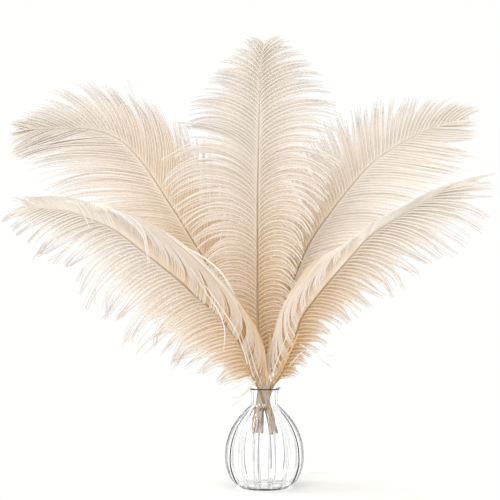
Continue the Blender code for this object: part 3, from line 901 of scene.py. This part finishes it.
def vase_outline():
    """(radius, height) from the middle of the underside, up the outside, and down the inside."""
    bulb = spaced(smooth_line([(r, z, 0.0) for r, z in BULB_OUTLINE]), BULB_SAMPLES)[:, :2]
    turn = np.radians(np.linspace(-90, 90, LIP_SAMPLES))
    lip = [(LIP_RADIUS - LIP_EDGE + LIP_EDGE * math.cos(a), VASE_HEIGHT - LIP_EDGE + LIP_EDGE * math.sin(a))
           for a in turn]
    neck = [(NECK_RADIUS, 86.0), (NECK_RADIUS, 90.0), (NECK_RADIUS + 0.05, 94.0), (NECK_RADIUS + 0.6, 97.2)]
    foot = [(0.0, 0.9), (12.0, 0.9), (19.0, 0.7), (21.5, 0.15), (22.8, 0.0)]
    inner = [(r - float(np.interp(z, (50, 84), (WALL, NECK_WALL))), z) for r, z in reversed(bulb)
             if z > FLOOR_THICKNESS + 1.2 * WALL]
    last_r, _ = inner[-1]
    floor = [(last_r - 1.0, FLOOR_THICKNESS + 1.6), (last_r - 2.4, FLOOR_THICKNESS + 0.5),
             (last_r - 4.5, FLOOR_THICKNESS), (14.0, FLOOR_THICKNESS + 0.3), (0.0, FLOOR_THICKNESS + 0.6)]
    throat = NECK_RADIUS - NECK_WALL
    mouth = [(throat + 1.6, 100.6), (throat + 0.6, 99.0), (throat, 96.5), (throat, 90.0), (throat, 86.0)]
    return [*foot, *map(tuple, bulb), *neck, *lip], [*mouth, *inner, *floor]


def make_vase(finish):
    outside, inside = vase_outline()
    bm = bmesh.new()
    on_outside = bm.verts.layers.int.new("outside")
    chain = [bm.verts.new((r * MM, 0.0, z * MM)) for r, z in [*outside, *inside]]
    for vert in chain[: len(outside)]:
        vert[on_outside] = 1
    edges = [bm.edges.new(pair) for pair in zip(chain, chain[1:])]
    columns = [*RIB_COLUMNS, 180 / RIBS, *(360 / RIBS - a for a in reversed(RIB_COLUMNS[1:]))]
    bmesh.ops.spin(bm, geom=[*chain, *edges], cent=(0, 0, 0), axis=(0, 0, 1), angle=2 * math.pi,
                   steps=RIBS * len(columns), use_merge=True)
    bmesh.ops.remove_doubles(bm, verts=bm.verts, dist=0.005 * MM)
    pitch = 2 * math.pi / (RIBS * len(columns))
    low, high = RIB_ENDS
    for vert in bm.verts:
        radius = math.hypot(vert.co.x, vert.co.y)
        if radius < 0.1 * MM:
            continue
        rib, place = divmod(round(math.atan2(vert.co.y, vert.co.x) / pitch), len(columns))
        from_ridge = min(columns[place], 360 / RIBS - columns[place])
        angle = math.radians(rib * 360 / RIBS + columns[place])
        if vert[on_outside]:
            height = vert.co.z / MM
            fade = float(ease((height - low) / RIB_FADES[0]) * ease((high - height) / RIB_FADES[1]))
            radius += RIB_HEIGHT * MM * fade * math.exp(-((from_ridge / RIB_SPREAD) ** RIB_SHARPNESS))
        vert.co.x, vert.co.y = radius * math.cos(angle), radius * math.sin(angle)
    bmesh.ops.recalc_face_normals(bm, faces=bm.faces)
    mesh = bpy.data.meshes.new("glass_vase")
    bm.to_mesh(mesh)
    bm.free()
    mesh.shade_smooth()
    mesh.materials.append(finish)
    vase = bpy.data.objects.new("glass_vase", mesh)
    bpy.context.scene.collection.objects.link(vase)
    return vase


# ---------------------------------------------------------------- the studio

EYE, TARGET = (-0.0145, -2.3960, 0.3772), Vector((-0.0145, 0.0, 0.239))
FOCAL_LENGTH, SENSOR = 172.8, 36.0
FLOOR_RADIUS, FLOOR_MIDDLE = 0.12, (0.05, -0.02, 0.0)
# By the distance from the vase's axis. Under the vase, where no lamp reaches, the floor glows as much as
# the lit floor around it.
FLOOR_GLOW = [(0.025, (0.75, 0.75, 0.74)), (0.029, (0.17, 0.17, 0.168))]
# Name, place, spread in degrees, and strength.
LAMPS = (("window", (-1.0, 0.0, 0.85), 22, 1.0), ("front", (-0.2, -1.0, 0.75), 50, 1.1))
# Two dark bands on the far wall, left and right of the vase, draw the sides of the glass.
DARK_BANDS = ((0.12, 1.0), (0.17, 0.26), (0.36, 0.26), (0.44, 1.0))
ROOM_STRENGTH = 1.28


def make_camera():
    camera = bpy.data.cameras.new("camera")
    camera.lens, camera.sensor_width = FOCAL_LENGTH, SENSOR
    camera.clip_end = 50.0
    eye = bpy.data.objects.new("camera", camera)
    eye.location = EYE
    eye.rotation_euler = (TARGET - eye.location).to_track_quat("-Z", "Y").to_euler()
    bpy.context.scene.collection.objects.link(eye)
    bpy.context.scene.camera = eye


def make_floor():
    bm = bmesh.new()
    bmesh.ops.create_circle(bm, cap_ends=True, segments=128, radius=FLOOR_RADIUS,
                            matrix=Matrix.Translation(FLOOR_MIDDLE))
    mesh = bpy.data.meshes.new("floor")
    bm.to_mesh(mesh)
    bm.free()
    made, tree = new_finish("white_floor")
    here = tree.node("ShaderNodeTexCoord", (), (), out=3)
    far = tree.node("ShaderNodeVectorMath", {"operation": "LENGTH"}, {0: here}, out=1)
    glow = tree.node("ShaderNodeValToRGB", {"stops": FLOOR_GLOW}, {0: far})
    wear(tree, tree.node("ShaderNodeBsdfPrincipled", (), {
        "Base Color": (0.62, 0.62, 0.60, 1.0), "Roughness": 0.9, "Specular IOR Level": 0.1,
        "Emission Color": glow, "Emission Strength": 1.0,
    }))
    mesh.materials.append(made)
    floor = bpy.data.objects.new("floor", mesh)
    bpy.context.scene.collection.objects.link(floor)


def make_lights():
    for name, place, spread, strength in LAMPS:
        lamp = bpy.data.lights.new(name, "SUN")
        lamp.angle, lamp.energy = math.radians(spread), strength
        light = bpy.data.objects.new(name, lamp)
        light.location = place
        light.rotation_euler = (-light.location).to_track_quat("-Z", "Y").to_euler()
        bpy.context.scene.collection.objects.link(light)
    world = bpy.data.worlds.new("white_room")
    world.use_nodes = True
    world.node_tree.nodes.clear()
    tree = Sums(world.node_tree)
    seen = tree.node("ShaderNodeLightPath", (), (), out=0)
    bright = tree.node("ShaderNodeBackground", (), {0: (1.0, 1.0, 0.99, 1.0), 1: 1.0})
    toward = tree.node("ShaderNodeTexCoord", (), (), out=0)
    across, ahead = (tree.node("ShaderNodeSeparateXYZ", (), {0: toward}, out=k) for k in (0, 1))
    side = tree.node("ShaderNodeMath", {"operation": "ABSOLUTE"}, {0: across})
    side = side * tree.node("ShaderNodeMath", {"operation": "GREATER_THAN"}, {0: ahead, 1: 0.0})
    walls = tree.node("ShaderNodeValToRGB", {"stops": greys(DARK_BANDS)}, {0: side})
    soft = tree.node("ShaderNodeBackground", (), {0: (1.0, 0.995, 0.985, 1.0), 1: walls * ROOM_STRENGTH})
    both = tree.node("ShaderNodeMixShader", (), {0: seen, 1: soft, 2: bright})
    tree.node("ShaderNodeOutputWorld", (), {"Surface": both})
    bpy.context.scene.world = world


def main():
    make_camera()
    make_floor()
    make_lights()
    vase = make_vase(clear_glass())
    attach(vase, "root")
    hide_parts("vase")
    barb_finish, shaft_finish = feather_barbs(), feather_shaft()
    for plume in PLUMES:
        piece = grow_plume(plume, barb_finish, shaft_finish)
        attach(piece, "root")
        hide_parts(plume.name)
    bpy.context.scene.view_settings.view_transform = "Standard"


main()
